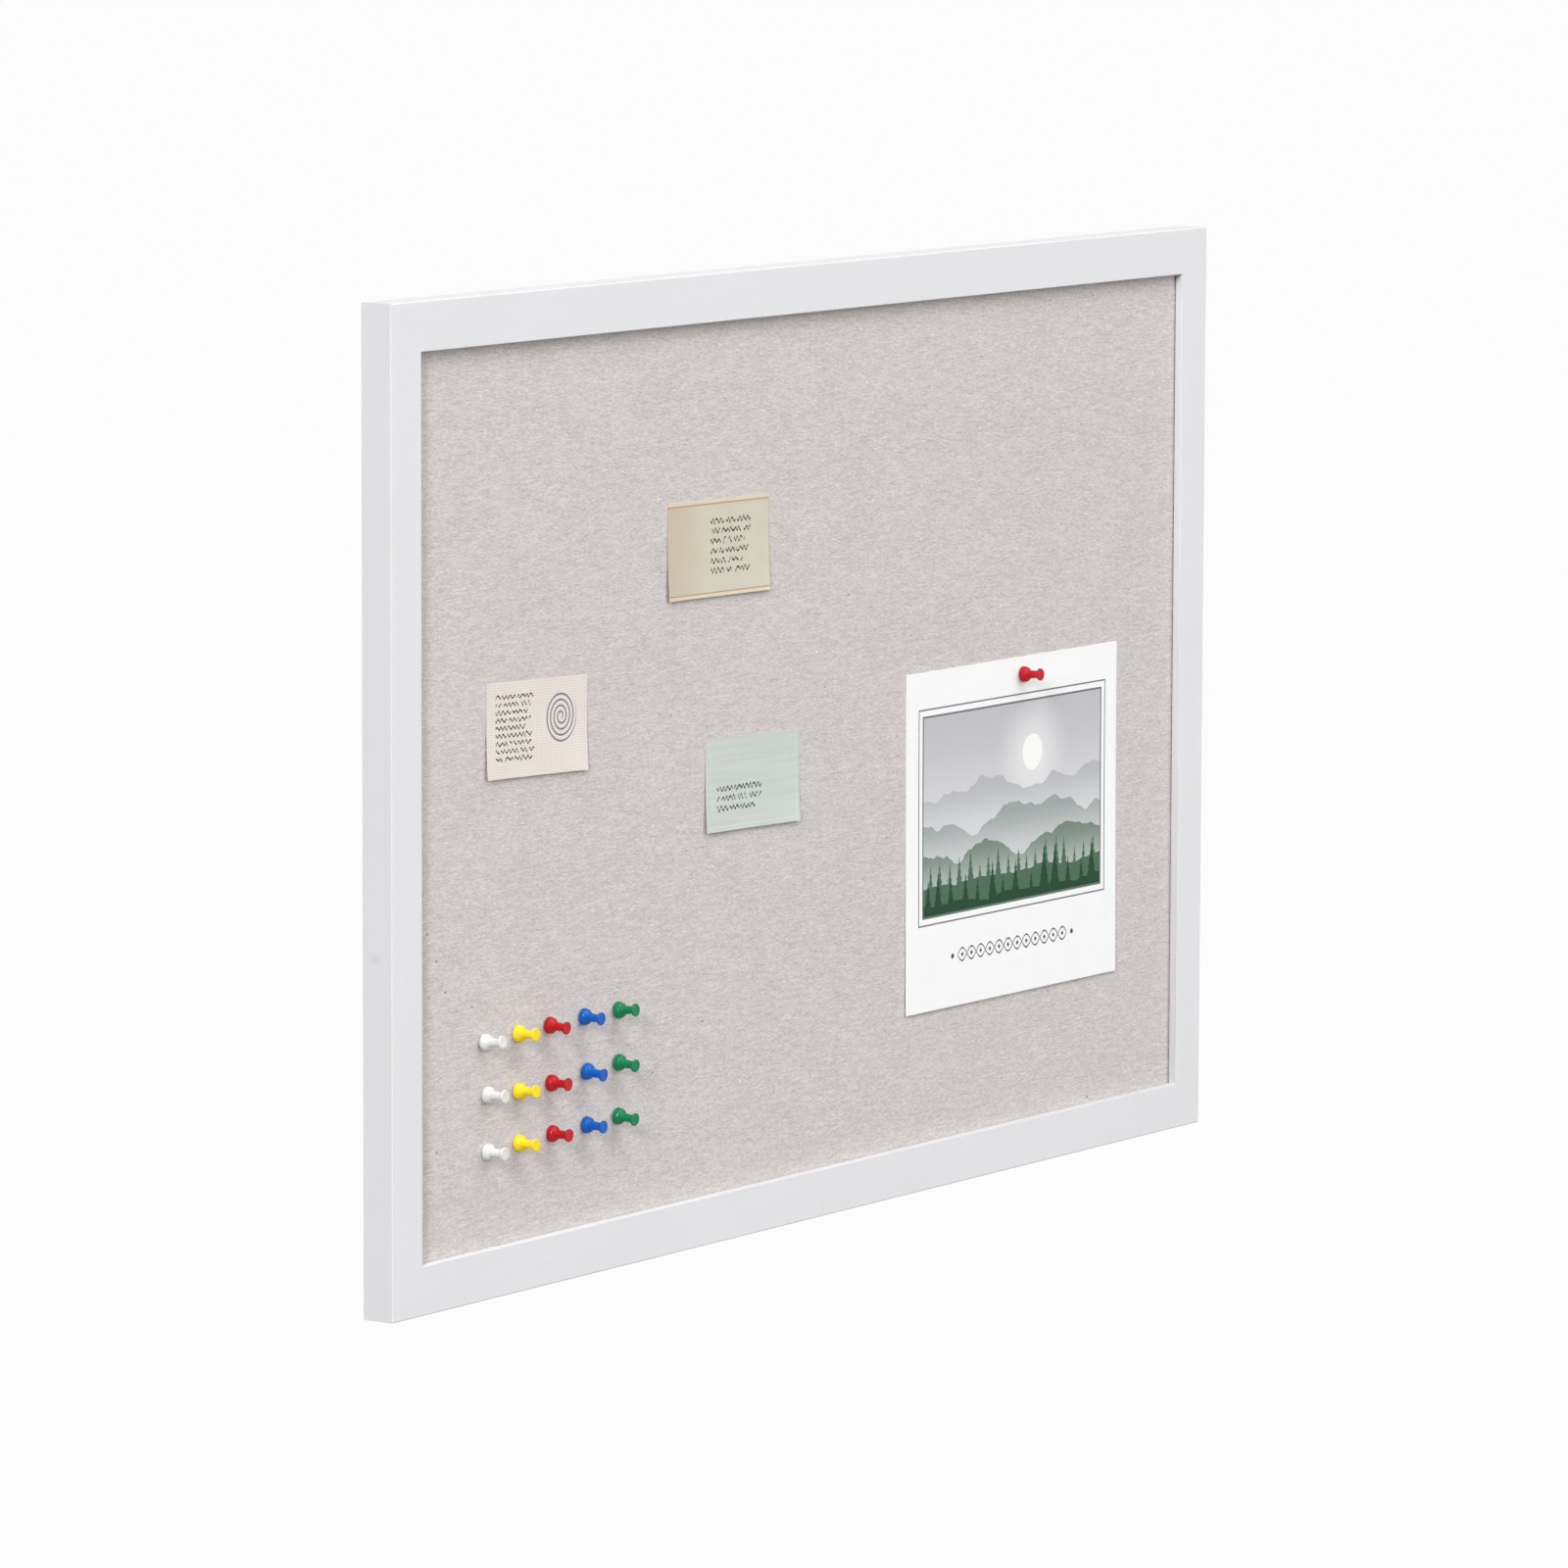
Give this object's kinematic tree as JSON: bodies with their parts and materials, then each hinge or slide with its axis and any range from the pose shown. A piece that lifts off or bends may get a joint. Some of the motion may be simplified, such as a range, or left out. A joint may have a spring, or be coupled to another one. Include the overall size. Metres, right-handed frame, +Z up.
{
  "type": "fabric bulletin board",
  "caption": "White mitred frame round a linen-covered pin panel, hung on a wall by rings at the back, with coloured push pins, self-stick notes and a pinned card.",
  "frame": {"origin": "centre of the plane of the frame's back, where the board hangs against a wall", "axes": "+X to the right as seen from the front, +Y towards the wall, +Z up"},
  "size_m": [0.914, 0.0367, 0.61],
  "materials": {
    "frame_paint": "white satin paint on wood",
    "linen": "pinkish grey linen with fine slubs",
    "fibreboard": "soft pressed fibre",
    "hardboard": "smooth brown hardboard",
    "steel": "zinc plated",
    "needle_steel": "polished steel wire",
    "card_paper": "white matt card with a printed panel",
    "kraft_paper": "matt kraft paper with ruled bands",
    "grid_paper": "matt cream paper with a fine grid",
    "mint_paper": "matt pale green paper with bands",
    "white_plastic": "glossy",
    "yellow_plastic": "glossy",
    "red_plastic": "glossy",
    "blue_plastic": "glossy",
    "green_plastic": "glossy"
  },
  "bodies": {
    "board": {"top_rail": "frame_paint", "bottom_rail": "frame_paint", "left_stile": "frame_paint", "right_stile": "frame_paint", "pin_panel": "fibreboard", "linen_cover": "linen", "backing_board": "hardboard", "corner_nail_top_left": "steel", "corner_nail_top_right": "steel", "corner_nail_bottom_left": "steel", "corner_nail_bottom_right": "steel", "flex_point_top_left": "steel", "flex_point_top_right": "steel", "flex_point_bottom_left": "steel", "flex_point_bottom_right": "steel", "flex_point_left": "steel", "flex_point_right": "steel", "hanger_strap_left": "steel", "hanger_strap_right": "steel", "hanger_screw_left": "steel", "hanger_screw_right": "steel"},
    "ring_left": {"hanger_ring_left": "steel"},
    "ring_right": {"hanger_ring_right": "steel"},
    "card": {"display_card": "card_paper"},
    "kraft_sheet": {"kraft_note": "kraft_paper"},
    "grid_sheet": {"grid_note": "grid_paper"},
    "mint_sheet": {"mint_note": "mint_paper"},
    "white_pin_1": {"white_pin_1_head": "white_plastic", "white_pin_1_needle": "needle_steel"},
    "white_pin_2": {"white_pin_2_head": "white_plastic", "white_pin_2_needle": "needle_steel"},
    "white_pin_3": {"white_pin_3_head": "white_plastic", "white_pin_3_needle": "needle_steel"},
    "yellow_pin_1": {"yellow_pin_1_head": "yellow_plastic", "yellow_pin_1_needle": "needle_steel"},
    "yellow_pin_2": {"yellow_pin_2_head": "yellow_plastic", "yellow_pin_2_needle": "needle_steel"},
    "yellow_pin_3": {"yellow_pin_3_head": "yellow_plastic", "yellow_pin_3_needle": "needle_steel"},
    "red_pin_1": {"red_pin_1_head": "red_plastic", "red_pin_1_needle": "needle_steel"},
    "red_pin_2": {"red_pin_2_head": "red_plastic", "red_pin_2_needle": "needle_steel"},
    "red_pin_3": {"red_pin_3_head": "red_plastic", "red_pin_3_needle": "needle_steel"},
    "blue_pin_1": {"blue_pin_1_head": "blue_plastic", "blue_pin_1_needle": "needle_steel"},
    "blue_pin_2": {"blue_pin_2_head": "blue_plastic", "blue_pin_2_needle": "needle_steel"},
    "blue_pin_3": {"blue_pin_3_head": "blue_plastic", "blue_pin_3_needle": "needle_steel"},
    "green_pin_1": {"green_pin_1_head": "green_plastic", "green_pin_1_needle": "needle_steel"},
    "green_pin_2": {"green_pin_2_head": "green_plastic", "green_pin_2_needle": "needle_steel"},
    "green_pin_3": {"green_pin_3_head": "green_plastic", "green_pin_3_needle": "needle_steel"},
    "card_pin": {"card_pin_head": "red_plastic", "card_pin_needle": "needle_steel"}
  },
  "joints": [
    {"name": "ring_left_swing", "type": "hinge", "parent": "board", "child": "ring_left", "pos_m": [-0.441, 0.0025, 0.155], "axis": [1, 0, 0], "range_deg": [0, 175]},
    {"name": "ring_right_swing", "type": "hinge", "parent": "board", "child": "ring_right", "pos_m": [0.441, 0.0025, 0.155], "axis": [1, 0, 0], "range_deg": [0, 175]},
    {"name": "card_swing", "type": "hinge", "parent": "board", "child": "card", "pos_m": [0.2398, -0.0163, 0.0216], "axis": [0, -1, 0], "range_deg": [-20, 20]},
    {"name": "kraft_note_lift", "type": "hinge", "parent": "board", "child": "kraft_sheet", "pos_m": [-0.11, -0.0163, 0.1639], "axis": [-0.9999, 0, 0.0122], "range_deg": [0, 70]},
    {"name": "grid_note_lift", "type": "hinge", "parent": "board", "child": "grid_sheet", "pos_m": [-0.3021, -0.0163, 0.0683], "axis": [-0.9995, 0, 0.0332], "range_deg": [0, 70]},
    {"name": "mint_note_lift", "type": "hinge", "parent": "board", "child": "mint_sheet", "pos_m": [-0.0717, -0.0163, 0.0122], "axis": [-0.9997, 0, 0.0227], "range_deg": [0, 70]},
    {"name": "white_pin_1_pull", "type": "slide", "parent": "board", "child": "white_pin_1", "axis": [0, -0.9945, 0.1045], "range_m": [0, 0.025]},
    {"name": "yellow_pin_1_pull", "type": "slide", "parent": "board", "child": "yellow_pin_1", "axis": [0, -0.9994, 0.0349], "range_m": [0, 0.025]},
    {"name": "red_pin_1_pull", "type": "slide", "parent": "board", "child": "red_pin_1", "axis": [0, -0.9986, -0.0523], "range_m": [0, 0.025]},
    {"name": "blue_pin_1_pull", "type": "slide", "parent": "board", "child": "blue_pin_1", "axis": [0, -0.9998, -0.0175], "range_m": [0, 0.025]},
    {"name": "green_pin_1_pull", "type": "slide", "parent": "board", "child": "green_pin_1", "axis": [0, -0.9962, 0.0872], "range_m": [0, 0.025]},
    {"name": "white_pin_2_pull", "type": "slide", "parent": "board", "child": "white_pin_2", "axis": [0, -0.9998, 0.0175], "range_m": [0, 0.025]},
    {"name": "yellow_pin_2_pull", "type": "slide", "parent": "board", "child": "yellow_pin_2", "axis": [0, -0.9962, 0.0872], "range_m": [0, 0.025]},
    {"name": "red_pin_2_pull", "type": "slide", "parent": "board", "child": "red_pin_2", "axis": [0, -0.9998, 0.0175], "range_m": [0, 0.025]},
    {"name": "blue_pin_2_pull", "type": "slide", "parent": "board", "child": "blue_pin_2", "axis": [0, -0.9945, -0.1045], "range_m": [0, 0.025]},
    {"name": "green_pin_2_pull", "type": "slide", "parent": "board", "child": "green_pin_2", "axis": [0, -0.9962, -0.0872], "range_m": [0, 0.025]},
    {"name": "white_pin_3_pull", "type": "slide", "parent": "board", "child": "white_pin_3", "axis": [0, -1, 0], "range_m": [0, 0.025]},
    {"name": "yellow_pin_3_pull", "type": "slide", "parent": "board", "child": "yellow_pin_3", "axis": [0, -1, 0], "range_m": [0, 0.025]},
    {"name": "red_pin_3_pull", "type": "slide", "parent": "board", "child": "red_pin_3", "axis": [0, -1, 0], "range_m": [0, 0.025]},
    {"name": "blue_pin_3_pull", "type": "slide", "parent": "board", "child": "blue_pin_3", "axis": [0, -0.9998, -0.0175], "range_m": [0, 0.025]},
    {"name": "green_pin_3_pull", "type": "slide", "parent": "board", "child": "green_pin_3", "axis": [0, -0.9962, -0.0872], "range_m": [0, 0.025]},
    {"name": "card_pin_pull", "type": "slide", "parent": "board", "child": "card_pin", "axis": [0, -0.9986, 0.0523], "range_m": [0, 0.025]}
  ]
}
